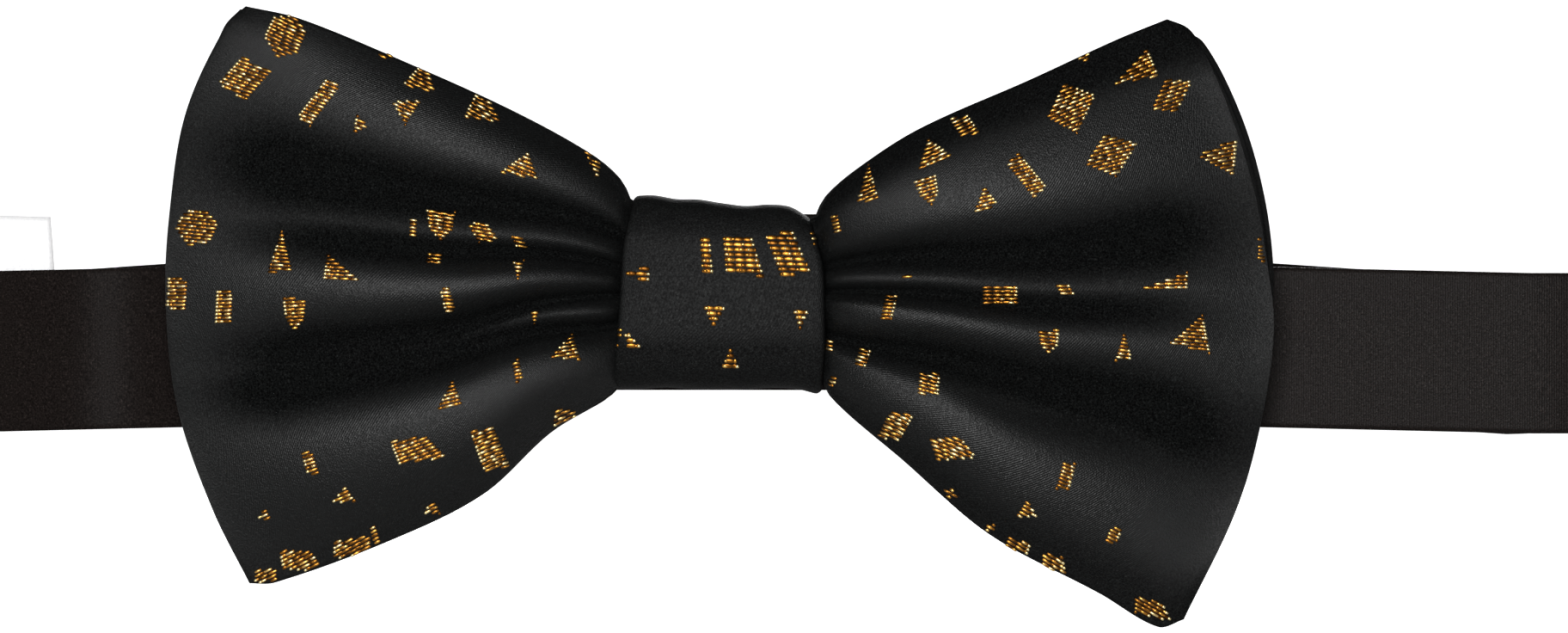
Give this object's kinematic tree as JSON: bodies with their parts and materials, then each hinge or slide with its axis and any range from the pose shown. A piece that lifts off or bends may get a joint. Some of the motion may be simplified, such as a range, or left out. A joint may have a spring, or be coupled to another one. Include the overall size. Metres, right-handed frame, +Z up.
{
  "type": "bow tie",
  "caption": "Ready-tied black satin bow tie with gold confetti jacquard, pleated wings, a wrapped knot and an adjustable neckband with a hook clasp.",
  "frame": {"origin": "centre of the knot's flat back face, which rests on the collar", "axes": "+Z up as worn, the bow faces -Y, +Y towards the neck, +X to the right seen from the front"},
  "size_m": [0.2176, 0.0584, 0.0676],
  "materials": {
    "jacquard": "black satin jacquard with gold metallic thread",
    "satin": "black satin ribbon",
    "interlining": "matte woven interlining",
    "thread": "black sewing thread",
    "label_thread": "white sewing thread",
    "label_satin": "white satin tape, blank",
    "nickel": "polished nickel plate"
  },
  "bodies": {
    "bow": {"front_bow": "jacquard", "front_interlining": "interlining", "rear_bow": "jacquard", "rear_interlining": "interlining", "knot_wrap": "jacquard", "knot_padding": "interlining", "knot_seam_stitches": "thread", "waist_binding": "thread", "front_band": "satin", "front_band_interlining": "interlining", "label_hem": "label_satin", "label_stitches": "label_thread"},
    "left_half": {"left_band": "satin", "left_band_interlining": "interlining", "ring_tack": "thread"},
    "ring": {"eye_ring": "nickel"},
    "right_half": {"right_band": "satin", "right_band_interlining": "interlining", "strap_return": "satin"},
    "clasp_hook": {"hook": "nickel"},
    "slide": {"slide_adjuster": "nickel", "slide_fold": "satin", "slide_tack": "thread"},
    "label": {"care_label": "label_satin"}
  },
  "joints": [
    {"name": "left_half_open", "type": "hinge", "parent": "bow", "child": "left_half", "pos_m": [-0.108, 0.0182, 0], "axis": [0, 0, 1], "range_deg": [0, 80]},
    {"name": "right_half_open", "type": "hinge", "parent": "bow", "child": "right_half", "pos_m": [0.108, 0.0182, 0], "axis": [0, 0, 1], "range_deg": [-80, 0]},
    {"name": "hook_swing", "type": "hinge", "parent": "right_half", "child": "clasp_hook", "pos_m": [-0.016, 0.0364, 0], "axis": [0, 0, -1], "range_deg": [0, 70]},
    {"name": "ring_swing", "type": "hinge", "parent": "left_half", "child": "ring", "pos_m": [-0.05, 0.0364, 0], "axis": [0, 0, -1], "range_deg": [0, 60]},
    {"name": "slide_adjust", "type": "slide", "parent": "right_half", "child": "slide", "axis": [0.9978, 0, -0.0665], "range_m": [-0.014, 0.04], "deforming": ["strap_return"]},
    {"name": "label_flap", "type": "hinge", "parent": "bow", "child": "label", "pos_m": [-0.0792, -0.0007, -0.0126], "axis": [-1, 0, 0], "range_deg": [0, 90]}
  ],
  "couplings": [
    {"joint": "right_half_open", "follows": "left_half_open", "ratio": -1}
  ]
}
